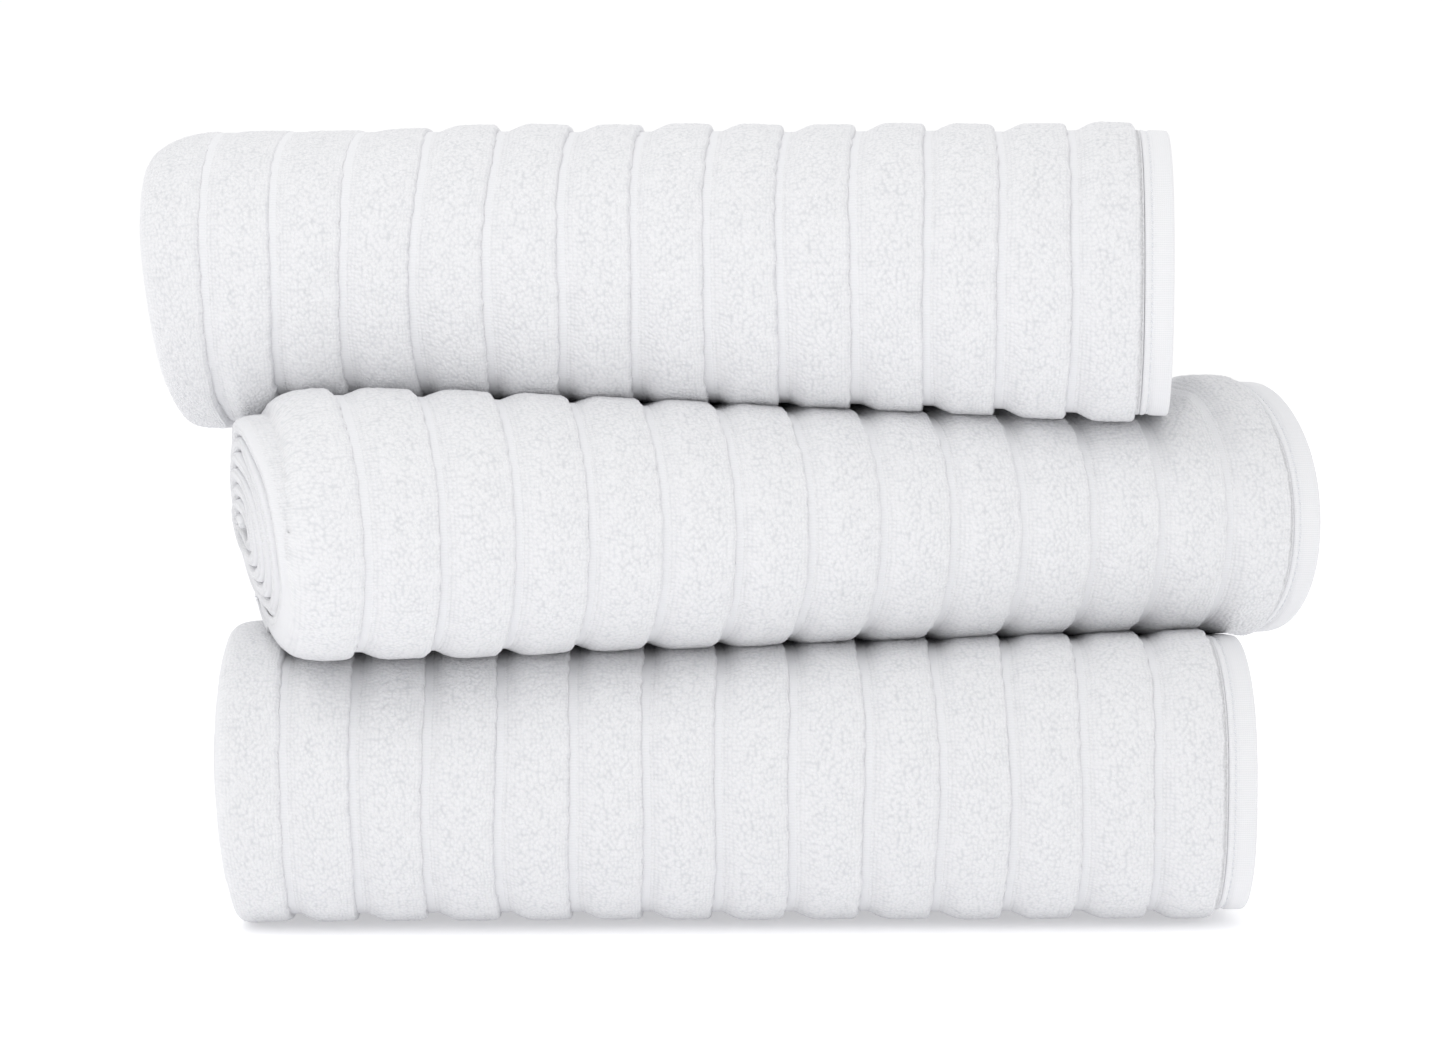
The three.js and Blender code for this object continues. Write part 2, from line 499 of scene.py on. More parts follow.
    def settle(self, points: Array) -> Array:
        """Presses points of the roll down, or up, out of what lies above and below it.

        Args:
            points: (..., 3) in the frame.

        Returns:
            The points, each moved along its vertical.
        """
        x, y, z = points[..., 0], points[..., 1], points[..., 2]
        reach = self.half_height * self.profile(x, y)
        over = self.middle + reach
        under = self.middle - reach
        if self.above:
            ceiling = self.above.middle - self.above.half_height * self.above.profile(x, y, self.SPREAD)
        else:
            ceiling = over + 1
        if self.below:
            ground = self.below.middle + self.below.half_height * self.below.profile(x, y, self.SPREAD)
            rise = (ground - under) / 2 - self.BITE
        else:
            rise = -under
        press_down = self.SOFTNESS * np.logaddexp(0, ((over - ceiling) / 2 - self.BITE) / self.SOFTNESS)
        press_up = self.SOFTNESS * np.logaddexp(0, rise / self.SOFTNESS)
        depth = np.maximum(reach, self.LEAST_HEIGHT)
        keep = np.where(z > self.middle, 1 - press_down / depth, 1 - press_up / depth)
        height = self.middle + (z - self.middle) * np.clip(keep, 0.5, 1)
        return np.stack([x, y, np.maximum(height, 0)], axis=-1)

    def at(self, run: Array, across: Array, out: Array) -> Array:
        """Where points of the rolled towel are.

        Args:
            run: distances along the cloth from the loose end.
            across: distances along the roll from its middle.
            out: distances outwards from the middle of the doubled cloth.

        Returns:
            (..., 3) in the frame.
        """
        run, across, out = np.broadcast_arrays(run, across, out)
        turned = self.turned_at(run)
        angle = self.LOOSE_END + turned
        inwards = np.clip(turned / self.turns[-1], 0, 1)
        near_fold = np.exp(-np.maximum(across - self.weave.fold, 0) / self.FOLD_REACH)
        slack = 1 - smooth_step(np.abs(across), 120 * MM, self.weave.edge)
        across_now = across + self.SWAY * slack * self.sway.at(across, angle)
        y, z = self.section(turned, out)
        leaning = self.roll.lean * (0.5 + 0.5 * z / self.half_height)
        bulge = self.roll.dome * (1 - (1 - inwards) ** 2) + leaning - self.roll.drawn
        across_now = across_now - near_fold * (bulge - self.SLIP * self.slip.at(run))
        scale = self.narrowing(across_now) * (1 + self.SWELL * self.swell.at(across, angle))
        y, z = y * scale, z * scale
        cosine, sine = math.cos(self.place.yaw), math.sin(self.place.yaw)
        x = self.place.x + across_now * cosine - y * sine
        y = self.place.y + across_now * sine + y * cosine
        return self.settle(np.stack([x, y, self.middle + z], axis=-1))


# Finishes


def matt_shader(name: str, roughness: float, specular: float, sheen: float) -> tuple[Any, Any, Any]:
    """Starts a matt material.

    Args:
        name: the material's name.
        roughness: its roughness.
        specular: its specular level.
        sheen: the weight of its sheen.

    Returns:
        The material, its tree and its Principled shader.
    """
    material = bpy.data.materials.new(name)
    material.use_nodes = True
    shader = material.node_tree.nodes["Principled BSDF"]
    shader.inputs["Roughness"].default_value = roughness
    shader.inputs["Specular IOR Level"].default_value = specular
    shader.inputs["Sheen Weight"].default_value = sheen
    return material, material.node_tree, shader


def calculate(tree: bpy.types.NodeTree, operation: str, *values: Any) -> bpy.types.NodeSocket:
    """Adds a Math node and gives its result."""
    return add_node(tree, "ShaderNodeMath", {"operation": operation}, dict(enumerate(values))).outputs[0]


def smooth_ramp(
    tree: bpy.types.NodeTree, value: Any, start: float, end: float, low: float = 0.0, high: float = 1.0
) -> bpy.types.NodeSocket:
    """Goes smoothly from low to high while a value goes from start to end."""
    smooth = {"interpolation_type": "SMOOTHSTEP"}
    inputs = {"Value": value, "From Min": start, "From Max": end, "To Min": low, "To Max": high}
    return add_node(tree, "ShaderNodeMapRange", smooth, inputs).outputs["Result"]


def stripes(
    tree: bpy.types.NodeTree, place: Any, direction: str, width: float, distortion: float, detail: float
) -> bpy.types.NodeSocket:
    """Soft stripes, each of a width in metres."""
    inputs = {"Vector": place, "Scale": math.pi / 10 / width, "Distortion": distortion, "Detail": detail}
    return add_node(tree, "ShaderNodeTexWave", {"bands_direction": direction}, inputs).outputs["Fac"]


def noise(tree: bpy.types.NodeTree, place: Any, size: float) -> bpy.types.NodeSocket:
    """Flat noise whose patches are about a size in metres."""
    inputs = {"Vector": place, "Scale": 1 / size, "Detail": 2.0}
    return add_node(tree, "ShaderNodeTexNoise", {"noise_dimensions": "2D"}, inputs).outputs["Fac"]


def raise_and_paint_shade(
    tree: bpy.types.NodeTree,
    shader: Any,
    height: Any,
    painted_shade_tone: Any,
    bump: tuple[float, float],
    shade_tints: tuple[str, str],
) -> None:
    """Gives a shader a bump and a colour with painted shade, darker in the hollows and lighter on the crowns.

    Args:
        tree: the material's tree.
        shader: its Principled shader.
        height: the socket with the bump's height.
        painted_shade_tone: the socket that goes from 0 in the hollows to 1 on the crowns.
        bump: the bump's strength and its distance.
        shade_tints: the hex colours of the hollows and of the crowns.
    """
    inputs = {"Strength": bump[0], "Distance": bump[1], "Height": height}
    normal = add_node(tree, "ShaderNodeBump", {}, inputs).outputs["Normal"]
    tree.links.new(normal, shader.inputs["Normal"])
    # Painted shade: the colour goes from the hollow tint, where shade would fall, to the crown tint.
    inputs = {0: painted_shade_tone, 6: linear(shade_tints[0]), 7: linear(shade_tints[1])}
    colour = add_node(tree, "ShaderNodeMix", {"data_type": "RGBA"}, inputs)
    tree.links.new(colour.outputs[2], shader.inputs["Base Color"])


@dataclass(frozen=True)
class CottonTerry:
    """Ring-spun cotton terry with uncut loops, washed: matt, with a grain of small curls and soft hollows.

    Between the ribs the plain ground weave shows, smooth and bright. Its colour is painted shade, darker
    wherever the loops or the yarns lie low.
    """

    weave: RibWeave
    name: str = "cotton_terry_loops"
    tip: str = "#EDEDEF"
    # painted shade: the colour of the low places between the loops
    shaded_hollow: str = "#DCDDE0"
    loop: float = 1.25 * MM
    fibre: float = 0.45 * MM
    clump: float = 5.5 * MM
    ground_yarn: float = 0.9 * MM  # about twice a real yarn, so that it shows
    bump: float = 0.5 * MM

    def material(self) -> bpy.types.Material:
        """Builds the material.

        Returns:
            The material. It reads the map of places on the flat cloth, in metres.
        """
        material, tree, shader = matt_shader(self.name, 0.95, 0.15, 0.12)
        place = add_node(tree, "ShaderNodeUVMap", {"uv_map": WEAVE_MAP}, {}).outputs["UV"]
        across = add_node(tree, "ShaderNodeSeparateXYZ", {}, {0: place}).outputs["X"]
        from_fold = calculate(tree, "SUBTRACT", across, self.weave.fold)
        in_rib = calculate(tree, "WRAP", from_fold, self.weave.rib_pitch, 0.0)
        groove = self.weave.groove_width
        is_pile = smooth_ramp(tree, in_rib, groove * 0.75, groove * 1.1)
        middle = groove + (self.weave.rib_pitch - groove) / 2
        from_middle = calculate(tree, "ABSOLUTE", calculate(tree, "SUBTRACT", in_rib, middle))
        disorder = smooth_ramp(tree, from_middle, 4 * MM, 10 * MM, 0.9, 0.3)
        gaps = add_node(
            tree,
            "ShaderNodeTexVoronoi",
            {"voronoi_dimensions": "2D", "feature": "SMOOTH_F1"},
            {"Vector": place, "Scale": 1 / self.loop, "Smoothness": 0.35, "Randomness": disorder},
        ).outputs["Distance"]
        curls = calculate(tree, "MULTIPLY_ADD", gaps, -1.0, 1.0)
        fuzzy = calculate(tree, "MULTIPLY_ADD", noise(tree, place, self.fibre), 0.35, curls)
        pile = calculate(tree, "MULTIPLY_ADD", noise(tree, place, self.clump), 0.5, fuzzy)
        yarns = stripes(tree, place, "Y", self.ground_yarn, 0.6, 1.0)
        ground = calculate(tree, "MULTIPLY_ADD", yarns, 0.12, 0.9)
        height = add_node(
            tree, "ShaderNodeMix", {"data_type": "FLOAT"}, {0: is_pile, 2: ground, 3: pile}
        ).outputs[0]
        # Painted shade: the lower the pile or the ground's yarns, the nearer the colour comes to the hollow
        # tint.
        painted_shade_tone = add_node(
            tree, "ShaderNodeMapRange", {}, {"Value": height, "From Min": 0.55, "From Max": 1.15}
        ).outputs["Result"]
        raise_and_paint_shade(tree, shader, height, painted_shade_tone, (1.0, self.bump), (self.shaded_hollow, self.tip))
        return material


@dataclass(frozen=True)
class FlatWovenCotton:
    """Plain-woven cotton, turned under as a hem: smooth and close, with faint yarns across the band."""

    name: str = "flat_woven_cotton"
    crown: str = "#ECECEE"
    # painted shade: the colour of the hollows between the yarns
    shaded_hollow: str = "#E4E5E7"
    yarn: float = 0.7 * MM  # about one and a half times a real yarn, so that it shows
    bump: float = 0.07 * MM

    def material(self) -> bpy.types.Material:
        """Builds the material.

        Returns:
            The material. It reads the map of places on the flat cloth, in metres.
        """
        material, tree, shader = matt_shader(self.name, 0.85, 0.2, 0.08)
        place = add_node(tree, "ShaderNodeUVMap", {"uv_map": WEAVE_MAP}, {}).outputs["UV"]
        weft = stripes(tree, place, "Y", self.yarn, 0.8, 2.0)
        warp = stripes(tree, place, "X", self.yarn, 0.5, 1.0)
        height = calculate(tree, "MULTIPLY_ADD", warp, 0.4, weft)
        # Painted shade: the low places between the yarns are coloured darker than the crowns.
        raise_and_paint_shade(tree, shader, height, height, (0.8, self.bump), (self.shaded_hollow, self.crown))
        return material


@dataclass(frozen=True)
class CottonThread:
    """Twisted cotton sewing thread: a little shinier than the cloth, with a fine slanting twist."""

    name: str = "cotton_sewing_thread"
    crown: str = "#EEEFF1"
    # painted shade: the colour in the grooves of the twist
    shaded_hollow: str = "#DBDDE2"
    twist: float = 0.6 * MM
    bump: float = 0.08 * MM

    def material(self) -> bpy.types.Material:
        """Builds the material.

        Returns:
            The material. It reads Object coordinates.
        """
        material, tree, shader = matt_shader(self.name, 0.6, 0.5, 0.0)
        place = add_node(tree, "ShaderNodeTexCoord", {}, {}).outputs["Object"]
        twist = stripes(tree, place, "DIAGONAL", self.twist, 1.0, 2.0)
        # Painted shade: the twist's grooves are coloured darker than its crowns.
        raise_and_paint_shade(tree, shader, twist, twist, (0.8, self.bump), (self.shaded_hollow, self.crown))
        return material


@dataclass(frozen=True)
class Finishes:
    """The materials that all the towels share."""

    terry: bpy.types.Material
    hem: bpy.types.Material
    thread: bpy.types.Material


# Stitches


@dataclass
class LockStitches:
    """A Geometry Nodes tree that lays a row of lock stitches along a line."""

    stitch: float = 2.3 * MM
    gap: float = 0.5 * MM
    thread: float = 0.65 * MM
    tree: bpy.types.NodeTree = field(init=False)

    def __post_init__(self) -> None:
        """Builds the tree."""
        tree = bpy.data.node_groups.new("lock_stitches", "GeometryNodeTree")
        sockets = tree.interface
        sockets.new_socket("Seam line", in_out="INPUT", socket_type="NodeSocketGeometry")
        for name in ("Stitch length", "Gap", "Thread width"):
            sockets.new_socket(name, in_out="INPUT", socket_type="NodeSocketFloat")
        sockets.new_socket("Thread", in_out="INPUT", socket_type="NodeSocketMaterial")
        sockets.new_socket("Seam", in_out="OUTPUT", socket_type="NodeSocketGeometry")
        given = add_node(tree, "NodeGroupInput", {}, {}).outputs
        line = add_node(tree, "GeometryNodeMeshToCurve", {}, {"Mesh": given["Seam line"]})
        pitch = calculate(tree, "ADD", given["Stitch length"], given["Gap"])
        spaced = add_node(
            tree, "GeometryNodeResampleCurve", {"mode": "LENGTH"}, {"Curve": line.outputs[0], "Length": pitch}
        )
        points = add_node(tree, "GeometryNodeCurveToPoints", {"mode": "EVALUATED"}, {0: spaced.outputs[0]})
        tangent = points.outputs["Tangent"]
        turn = add_node(tree, "FunctionNodeAlignRotationToVector", {"axis": "X"}, {"Vector": tangent})
        bead = add_node(tree, "GeometryNodeMeshUVSphere", {}, {"Segments": 6, "Rings": 4, "Radius": 0.5})
        width = given["Thread width"]
        size = add_node(tree, "ShaderNodeCombineXYZ", {}, {0: given["Stitch length"], 1: width, 2: width})
        beads = {
            "Points": points.outputs["Points"],
            "Instance": bead.outputs["Mesh"],
            "Rotation": turn.outputs[0],
            "Scale": size.outputs[0],
        }
        row = add_node(tree, "GeometryNodeInstanceOnPoints", {}, beads)
        real = add_node(tree, "GeometryNodeRealizeInstances", {}, {0: row.outputs[0]})
        smooth = add_node(tree, "GeometryNodeSetShadeSmooth", {}, {0: real.outputs[0]})
        dressed = add_node(
            tree, "GeometryNodeSetMaterial", {}, {"Geometry": smooth.outputs[0], "Material": given["Thread"]}
        )
        add_node(tree, "NodeGroupOutput", {}, {0: dressed.outputs[0]})
        self.tree = tree

    def sew(self, name: str, line: Array, material: bpy.types.Material) -> bpy.types.Object:
        """Lays stitches along a line.

        Args:
            name: the seam's name.
            line: the points that the seam follows, (points, 3).
            material: the thread's finish.

        Returns:
            The seam, a plain mesh.
        """
        path = bpy.data.meshes.new(name + "_line")
        path.from_pydata(line.tolist(), [(i, i + 1) for i in range(len(line) - 1)], [])
        carrier = bpy.data.objects.new(name + "_line", path)
        bpy.context.scene.collection.objects.link(carrier)
        modifier = carrier.modifiers.new("lock_stitches", "NODES")
        modifier.node_group = self.tree
        values = {
            "Stitch length": self.stitch,
            "Gap": self.gap,
            "Thread width": self.thread,
            "Thread": material,
        }
        for item in self.tree.interface.items_tree:
            if item.in_out == "INPUT" and item.name in values:
                modifier[item.identifier] = values[item.name]
        depsgraph = bpy.context.evaluated_depsgraph_get()
        mesh = bpy.data.meshes.new_from_object(carrier.evaluated_get(depsgraph))
        mesh.name = name
        bpy.data.objects.remove(carrier)
        bpy.data.meshes.remove(path)
        seam = bpy.data.objects.new(name, mesh)
        bpy.context.scene.collection.objects.link(seam)
        return seam


# The towels


@dataclass
class RolledTowel:
    """One rolled towel: its doubled cloth, the pile of its outer turn, its four hems and their seams."""

    BEND_POWER = 0.6  # below 1, the bend at the fold is squarer than a half circle, so turns lie close

    form: RolledForm
    weave: RibWeave
    finishes: Finishes
    stitches: LockStitches
    cloth_step: float = 2.25 * MM
    pile_step: float = 0.75 * MM  # between rings of the pile where it is seen best
    pile_coarse: float = 1.3 * MM  # and at the back
    pile_columns: int = 32
    hem_step: float = 2.0 * MM
    fold_steps: int = 10
    ribs_in_piece: int = 5
    loose_end_press: float = 16 * MM  # the loose end presses the pile under it flat from this far off
    tuft_relief: float = 0.25 * MM
    edge_sink: float = 0.25 * MM  # how far a rib's edges go into the ground weave
    pile_root: float = 0.8 * MM  # how far the underside of a rib lies below the cloth's face
    ragged_start: float = 0.15 * MM
    ragged_end: float = 0.45 * MM
    line_step: float = 1.4 * MM  # between the points of a seam's line

    def __post_init__(self) -> None:
        """Draws the towel's own unevenness."""
        seed = self.form.roll.seed
        self.name = self.form.roll.towel.value
        self.loops = LoopField(seed + 3, self.weave.loop_spacing)
        self.tufts = LoopField(seed + 4, 4.2 * self.weave.loop_spacing)
        self.edges = Wander(seed + 5, 2.6 * MM)

    @property
    def half(self) -> float:
        """Half the doubled cloth's thickness, less what keeps the turns apart."""
        return self.form.pitch / 2 - self.weave.clearance / 2

    @property
    def length(self) -> float:
        """The length of the wound cloth."""
        return float(self.form.runs[-1])

    def face(self, across: Array, rise: Array) -> tuple[Array, Array]:
        """A place above the cloth's face, which runs along the outer layer and on round the fold.

        Args:
            across: the distance along the roll; below the fold's start it is the distance round the bend.
            rise: the height above the cloth.

        Returns:
            The distance along the roll and the distance outwards.
        """
        bend = self.weave.fold + self.half
        angle = np.clip((bend - across) / self.half, 0, math.pi)
        radius = self.half + rise
        return np.where(across >= bend, across, bend - radius * np.sin(angle)), radius * np.cos(angle)

    def ring(self, run: Array, across: Array, out: Array, weave_across: Array) -> Strip:
        """A closed band whose section is the same all along, apart from what at() does to it.

        Args:
            run: the stations' distances along the cloth, or (stations, ring).
            across: the section's places along the roll.
            out: the section's places outwards.
            weave_across: the section's places across the flat cloth.

        Returns:
            The band.
        """
        runs = run[:, None] if run.ndim == 1 else run
        points = self.form.at(runs, across, out)
        stations, columns = points.shape[:2]
        flat = np.broadcast_to(weave_across, (stations, columns))
        flat = np.concatenate([flat, flat[:, -1:]], axis=1)
        along = np.broadcast_to(runs, (stations, columns))
        along = np.concatenate([along, along[:, :1]], axis=1)
        return Strip(points, np.stack([flat, along], axis=-1))

    def cloth(self) -> bpy.types.Object:
        """The doubled cloth, wound from the loose end to the core."""
        weave, half = self.weave, self.half
        gap = weave.clearance / 2
        offsets = np.array([-0.6 * MM, 0.5 * MM, 1.3 * MM, 2.1 * MM, 3.2 * MM])
        starts = weave.fold + weave.rib_pitch * np.arange(1, weave.ribs)
        outer = np.concatenate([[weave.terry_edge], np.sort((starts[:, None] + offsets).ravel())[::-1]])
        bend_start = weave.fold + half
        outer = np.append(outer[outer > bend_start], bend_start)
        around = np.linspace(0, math.pi, self.fold_steps)[1:-1]
        inner = np.concatenate([bend_start + 24 * MM * np.linspace(0, 1, 6) ** 1.5, [-80 * MM, 0, 80 * MM]])
        inner = np.append(inner, [weave.terry_edge - 6 * MM, weave.terry_edge])
        slot = np.linspace(weave.terry_edge, bend_start, 5)
        bulge = np.sin(around) ** self.BEND_POWER
        height = np.sign(np.cos(around)) * np.abs(np.cos(around)) ** self.BEND_POWER
        across = np.concatenate([outer, bend_start - half * bulge, inner, slot, slot[::-1]])
        out = np.concatenate(
            [
                np.full(len(outer), half),
                half * height,
                np.full(len(inner), -half),
                np.full(5, -gap),
                np.full(5, gap),
            ]
        )
        on_flat = np.concatenate([outer, bend_start - half * around, 2 * weave.fold - inner, slot, slot])
        start = weave.end_hem_width + weave.clearance
        end = self.length - start
        run = np.linspace(start, end, round((end - start) / self.cloth_step))
        shown = np.where(np.abs(out) > gap + 0.1 * MM, 1.0, 0.0)
        grain = self.loops.at(on_flat, run[:, None]) - 0.5
        strip = self.ring(run, across, out * (1 + 0.08 * shown * grain), on_flat)
        return strip_mesh(f"{self.name}_cloth", [strip], self.finishes.terry)

    def pile_stations(self) -> Array:
        """Where the rings of the pile lie along the cloth, closer together where the roll is seen best."""
        start = self.weave.end_hem_width + self.weave.clearance
        end = self.form.run_at(TURN)
        fine = np.linspace(start, end, 4000)
        angle = np.degrees(self.form.LOOSE_END + self.form.turned_at(fine))
        front = smooth_step(angle, 20, 60) * (1 - smooth_step(angle, 235, 265))
        step = self.pile_coarse + (self.pile_step - self.pile_coarse) * front
        count = np.concatenate([[0], np.cumsum(np.diff(fine) / step[1:])])
        return np.interp(np.linspace(0, count[-1], round(count[-1])), count, fine)

    def rib(self, index: int, run: Array) -> Strip:
        """The terry loops of one rib on the outer turn.

        Args:
            index: the rib's number from the fold.
            run: the stations.

        Returns:
            The rib's band: a low, rough dome over the ground weave. The first one goes on round the fold.
        """
        weave = self.weave
        start, end = weave.rib_edges(index)
        first = index == 0
        if first:
            start = weave.fold + self.half - 2.5 * self.half
        columns = round(self.pile_columns * (end - start) / (weave.rib_pitch - weave.groove_width))
        step = np.linspace(0, 1, columns)
        share = 0.5 * step + 0.25 * (1 - np.cos(math.pi * step))
        slope = np.sin(np.clip(share / 0.4, 0, 1) * math.pi / 2) ** 1.3
        wall = np.sqrt(np.maximum(1 - np.clip((share - 0.93) / 0.07, 0, 1) ** 2, 0))
        dome = slope * wall * (0.86 + 0.14 * np.sin(math.pi * share))
        if first:
            dome = dome * smooth_step(share, 0, 0.35)
        shore = self.edges.at(run[:, None] + 7.3 * index)
        shore_end = self.edges.at(run[:, None] + 7.3 * index + 2.1)
        across = start + (end - start) * share
        drift = self.ragged_start * shore * (1 - share) ** 6 + self.ragged_end * shore_end * share**6
        turned = self.form.turned_at(run)
        to_end = self.form.run_at(TURN) - run
        pressed = smooth_step(to_end, 0, self.loose_end_press) * 0.92 + 0.08
        begun = np.sqrt(np.clip((run - run[0]) / (2 * MM), 0, 1))
        over_top = np.exp(-(((self.form.LOOSE_END + turned - math.radians(95)) / math.radians(48)) ** 2))
        near_fold = 1 - smooth_step(across, weave.fold + 60 * MM, weave.fold + 130 * MM)
        pulled = 1 - self.form.roll.taut * over_top[:, None] * near_fold
        grain = self.loops.at(across, run[:, None]) - 0.45
        tuft = self.tufts.at(across, run[:, None]) - 0.45
        raised = (pressed * begun)[:, None]
        height = weave.pile_height * dome * pulled * raised
        rough = (weave.loop_relief * grain + self.tuft_relief * tuft) * (slope * wall) * raised
        sunk = self.edge_sink * (1 - np.minimum(slope, wall))
        top_across, top_out = self.face(across + drift, height + rough - sunk)
        root = self.pile_root
        under = np.linspace(end - root, start + root, 8 if first else 2)
        under_across, under_out = self.face(under, np.full(len(under), -root))
        shape = (len(run), len(under))
        all_across = np.concatenate([top_across, np.broadcast_to(under_across, shape)], axis=1)
        all_out = np.concatenate([top_out, np.broadcast_to(under_out, shape)], axis=1)
        return self.ring(run, all_across, all_out, np.concatenate([across, under]))

    def pile(self) -> list[bpy.types.Object]:
        """The ribs of pile on the outer turn, a few to a piece."""
        run = self.pile_stations()
        made = []
        for first in range(0, self.weave.ribs, self.ribs_in_piece):
            ribs = range(first, min(first + self.ribs_in_piece, self.weave.ribs))
            name = f"{self.name}_pile_ribs_{ribs[0] + 1:02d}_to_{ribs[-1] + 1:02d}"
            made.append(strip_mesh(name, [self.rib(i, run) for i in ribs], self.finishes.terry))
        return made

    def layer_middle(self, layer: Layer) -> float:
        """How far out the middle of one layer lies."""
        gap = self.weave.clearance / 2
        outside = self.half if layer is Layer.OUTER else -gap
        inside = gap if layer is Layer.OUTER else -self.half
        return (outside + inside) / 2

    def side_hem(self, layer: Layer) -> bpy.types.Object:
        """The side hem of one layer: a folded, flat-woven band with a line sunk where it is sewn."""
        weave = self.weave
        thick = weave.hem_thickness
        middle = self.layer_middle(layer) + (0.2 * MM if layer is Layer.OUTER else 0)
        start = weave.terry_edge + weave.clearance / 2
        places = start + np.array([0, 0.35, 1.0, 1.6, 2.1, 2.5, 2.9, 3.5, 5.0, 7.0, 8.6, 9.4, 9.75]) * MM
        lift = np.array([-0.5, 0.1, 0.25, 0.05, -0.35, -0.45, -0.25, 0.15, 0.2, 0.15, 0.1, -0.05, -0.5]) * MM
        back = places[::-2]
        across = np.concatenate([places, back])
        out = np.concatenate([middle + thick / 2 + lift, np.full(len(back), middle - thick / 2)])
        out[len(places)] += 0.3 * MM
        run = np.linspace(0, self.length, round(self.length / self.hem_step))
        name = f"{self.name}_{layer.name.lower()}_side_hem_band"
        return strip_mesh(name, [self.ring(run, across, out, across)], self.finishes.hem)

    def end_hem(self, end: ClothEnd) -> bpy.types.Object:
        """The hem across one short end, folded over with the cloth."""
        weave, half = self.weave, self.half
        thick = weave.hem_thickness
        gap = half - thick
        bend = weave.fold + half
        outer = np.linspace(weave.terry_edge, bend, 40)
        around = np.linspace(0, math.pi, 9)[1:-1]
        across = np.concatenate([outer, bend - half * np.sin(around), outer[::-1]])
        out = np.concatenate([np.full(40, half), half * np.cos(around), np.full(40, -half)])
        back_around = around[::-1]
        across = np.concatenate([across, outer[::4], bend - gap * np.sin(back_around), outer[::-4]])
        out = np.concatenate([out, np.full(10, -gap), gap * np.cos(back_around), np.full(10, gap)])
        share = np.linspace(0, 1, 16)
        run = weave.end_hem_width * (0.5 * share + 0.25 * (1 - np.cos(math.pi * share)))
        plump = (1 - np.abs(2 * share - 1) ** 8) ** 0.5
        seam = np.exp(-(((run - weave.end_hem_width + weave.seam_inset) / (0.9 * MM)) ** 2))
        thin = (0.55 + 0.45 * plump - 0.22 * seam)[:, None]
        centre = np.where(np.abs(out) > 0, np.sign(out) * (half - thick / 2), 0)
        in_layer = across >= bend - 1e-9
        out = np.where(in_layer, centre + (out - centre) * thin, out * (0.85 + 0.15 * thin))
        on_flat = np.concatenate([outer, bend - half * around, 2 * weave.fold - outer[::-1]])
        on_flat = np.concatenate([on_flat, outer[::4], bend - gap * back_around, outer[::-4]])
        if end is ClothEnd.CORE:
            run = self.length - run[::-1]
            out = out[::-1]
        strip = self.ring(run, np.broadcast_to(across, out.shape), out, on_flat)
        return strip_mesh(f"{self.name}_{end.value}_hem_band", [strip], self.finishes.hem)

    def side_seam(self, layer: Layer) -> bpy.types.Object:
        """The stitches along one side hem."""
        weave = self.weave
        level = self.layer_middle(layer) + weave.hem_thickness / 2 - 0.25 * MM
        run = np.arange(1.5 * MM, self.length - 1.5 * MM, self.line_step)
        line = self.form.at(run, np.array(weave.terry_edge + weave.seam_inset + 0.3 * MM), np.array(level))
        name = f"{self.name}_{layer.name.lower()}_side_seam_stitches"
        return self.stitches.sew(name, line, self.finishes.thread)

    def end_seam(self, end: ClothEnd) -> bpy.types.Object:
        """The stitches along one end hem, from edge to edge round the fold."""
        weave, half = self.weave, self.half
        inset = weave.end_hem_width - weave.seam_inset
        run = inset if end is ClothEnd.LOOSE else self.length - inset
        bend = weave.fold + half
        outer = np.arange(weave.terry_edge, bend, -self.line_step)
        around = np.linspace(0, math.pi, 9)
        level = half - 0.1 * MM
        across = np.concatenate([outer, bend - level * np.sin(around), outer[::-1]])
        flat = np.full(len(outer), level)
        out = np.concatenate([flat, level * np.cos(around), -flat])
        line = self.form.at(np.array(run), across, out)
        return self.stitches.sew(f"{self.name}_{end.value}_seam_stitches", line, self.finishes.thread)

    def build(self) -> None:
        """Makes every piece of the towel, ties it to its body and hides the CAD nodes that it stands in for.
        """
        cloth = self.cloth()
        pile = self.pile()
        hems = [self.side_hem(layer) for layer in Layer] + [self.end_hem(end) for end in ClothEnd]
        seams = [self.side_seam(layer) for layer in Layer] + [self.end_seam(end) for end in ClothEnd]
        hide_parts(f"{self.name}_terry")
        for piece in [*hems, *seams]:
            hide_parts(piece.name.rsplit("_", 1)[0])
        self.dress([cloth, *pile])
        self.dress(hems)
        self.dress(seams)

    def dress(self, pieces: list[bpy.types.Object]) -> None:
        """Ties pieces to the body that they ride on, and logs how many faces each has."""
        for piece in pieces:
            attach(piece, self.name)
            log.info("%s: %d faces", piece.name, len(piece.data.polygons))


# The studio


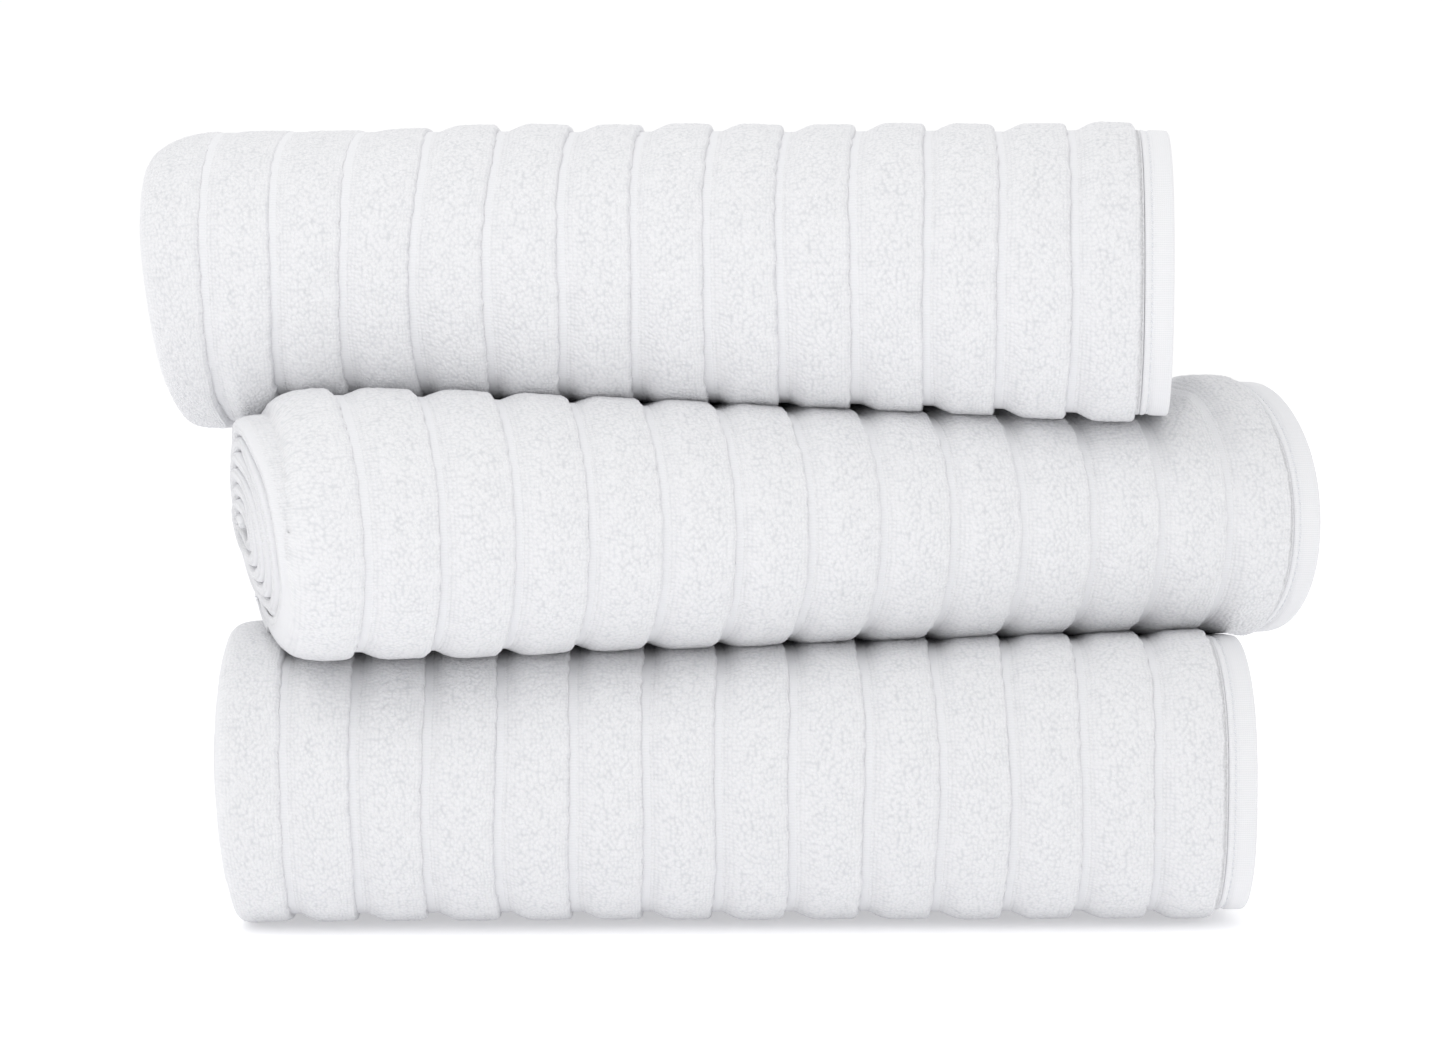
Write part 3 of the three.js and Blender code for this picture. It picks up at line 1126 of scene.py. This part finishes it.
@dataclass
class Studio:
    """A plain pale floor, soft light and the camera."""

    floor_size: float = 8.0
    aim: tuple[float, float, float] = (-0.002, 0.0, 0.1346)
    distance: float = 1.411
    elevation: float = 4.5
    lens: float = 102.0
    floor_colour: str = "#FAFAFB"
    floor_glow: float = 0.25
    sky_colour: str = "#FFFFFF"
    sky_behind: float = 1.02
    sky_in_front: float = 0.72

    def build(self) -> None:
        """Makes the floor, the lights and the camera."""
        self.floor()
        self.sky()
        self.lamp("key", (-0.35, -0.8, 1.15), 0.8, 4.2)
        self.camera()

    def floor(self) -> None:
        """A pale matt floor that glows a little, so that shadows stay faint."""
        half = self.floor_size / 2
        mesh = bpy.data.meshes.new("floor")
        corners = [(-half, -half, 0), (half, -half, 0), (half, half, 0), (-half, half, 0)]
        mesh.from_pydata([(x, y, z - 0.2 * MM) for x, y, z in corners], [], [(0, 1, 2, 3)])
        material, _, shader = matt_shader("studio_floor", 1.0, 0.5, 0.0)
        shader.inputs["Base Color"].default_value = linear(self.floor_colour)
        shader.inputs["Emission Color"].default_value = linear(self.floor_colour)
        shader.inputs["Emission Strength"].default_value = self.floor_glow
        mesh.materials.append(material)
        floor = bpy.data.objects.new("floor", mesh)
        bpy.context.scene.collection.objects.link(floor)

    def sky(self) -> None:
        """A white surround, dimmer in front of the towels than above and behind them."""
        world = bpy.data.worlds.new("surround")
        bpy.context.scene.world = world
        world.use_nodes = True
        tree = world.node_tree
        direction = add_node(tree, "ShaderNodeTexCoord", {}, {}).outputs["Generated"]
        behind = add_node(
            tree, "ShaderNodeVectorMath", {"operation": "DOT_PRODUCT"}, {0: direction, 1: (0.35, 1.0, 0.0)}
        ).outputs["Value"]
        strength = smooth_ramp(tree, behind, -0.9, 0.3, self.sky_in_front, self.sky_behind)
        background = tree.nodes["Background"]
        background.inputs["Color"].default_value = linear(self.sky_colour)
        tree.links.new(strength, background.inputs["Strength"])

    def lamp(self, name: str, place: tuple[float, float, float], size: float, power: float) -> None:
        """A square soft light that faces the towels."""
        data = bpy.data.lights.new(name, "AREA")
        data.size = size
        data.energy = power
        lamp = bpy.data.objects.new(name, data)
        lamp.location = place
        lamp.rotation_euler = (Vector(self.aim) - Vector(place)).to_track_quat("-Z", "Y").to_euler()
        bpy.context.scene.collection.objects.link(lamp)

    def camera(self) -> None:
        """A long lens in front of the towels, a little above them."""
        data = bpy.data.cameras.new("camera")
        data.lens = self.lens
        camera = bpy.data.objects.new("camera", data)
        angle = math.radians(self.elevation)
        back = Vector((0, -math.cos(angle), math.sin(angle)))
        camera.location = Vector(self.aim) + back * self.distance
        camera.rotation_euler = (-back).to_track_quat("-Z", "Y").to_euler()
        bpy.context.scene.collection.objects.link(camera)
        bpy.context.scene.camera = camera
        bpy.context.scene.view_settings.view_transform = "Standard"


ROLLS = [
    Roll(
        Towel.BOTTOM, seed=11, half_depth=65 * MM, squareness=2.5, sink=1.5 * MM, rise=6.5 * MM,
        shoulder=9 * MM, shoulder_length=14 * MM, dome=5 * MM, drawn=9 * MM, lean=5 * MM,
    ),
    Roll(
        Towel.MIDDLE, seed=23, half_depth=66 * MM, squareness=2.1, sink=3.4 * MM, rise=9 * MM,
        shoulder=14 * MM, shoulder_length=20 * MM, dome=6 * MM, drawn=2.5 * MM, lean=12 * MM,
    ),
    Roll(
        Towel.TOP, seed=37, half_depth=57 * MM, squareness=2.2, sink=8 * MM, rise=0.5 * MM,
        shoulder=18 * MM, shoulder_length=27 * MM, dome=4 * MM, drawn=14 * MM, lean=13 * MM, taut=0.9,
    ),
]


def main() -> None:
    """Builds the towels from the bottom up, then the studio."""
    logging.basicConfig(level=logging.INFO, format="%(name)s: %(message)s")
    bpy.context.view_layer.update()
    weave = RibWeave()
    finishes = Finishes(
        CottonTerry(weave).material(), FlatWovenCotton().material(), CottonThread().material()
    )
    forms = [RolledForm(roll, weave) for roll in ROLLS]
    for lower, upper in zip(forms, forms[1:]):
        lower.above = upper
        upper.below = lower
    stitches = LockStitches()
    Studio().build()
    for form in forms:
        log.info("%s: a turn takes %.1f mm", form.roll.towel.value, form.pitch / MM)
        RolledTowel(form, weave, finishes, stitches).build()


if __name__ == "__main__":
    main()
